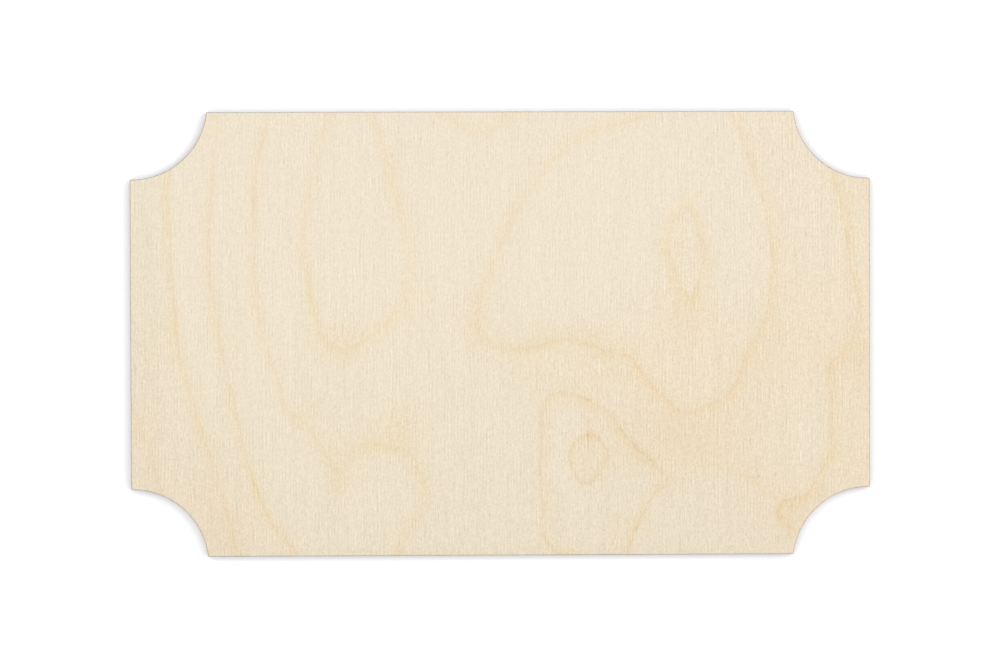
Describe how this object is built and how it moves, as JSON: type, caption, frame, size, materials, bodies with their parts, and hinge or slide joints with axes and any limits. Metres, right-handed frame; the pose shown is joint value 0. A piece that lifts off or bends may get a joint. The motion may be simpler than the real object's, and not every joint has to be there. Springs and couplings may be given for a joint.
{
  "type": "wooden plaque blank",
  "caption": "Flat rectangular birch plywood plaque with concave scooped corners and a blank face, made to be painted, written on or engraved and then glued or taped up.",
  "frame": {"origin": "middle of the flat back face, which the plaque lies on", "axes": "+X along the long side, +Y along the short side to the top of the picture, +Z out of the front face"},
  "size_m": [0.25, 0.15, 0.003],
  "materials": {
    "front_birch": "rotary-cut birch, sanded and unfinished, grain along the short side, edges toasted by the cutter",
    "core_birch": "rotary-cut birch laid across the faces, only its toasted cut edge shows",
    "back_birch": "rotary-cut birch, sanded and unfinished, grain along the short side, edges toasted by the cutter",
    "glue": "cured resin film, scorched dark at the cut edge"
  },
  "bodies": {
    "root": {"front_veneer": "front_birch", "front_glue_line": "glue", "core_veneer": "core_birch", "back_glue_line": "glue", "back_veneer": "back_birch"}
  },
  "joints": []
}
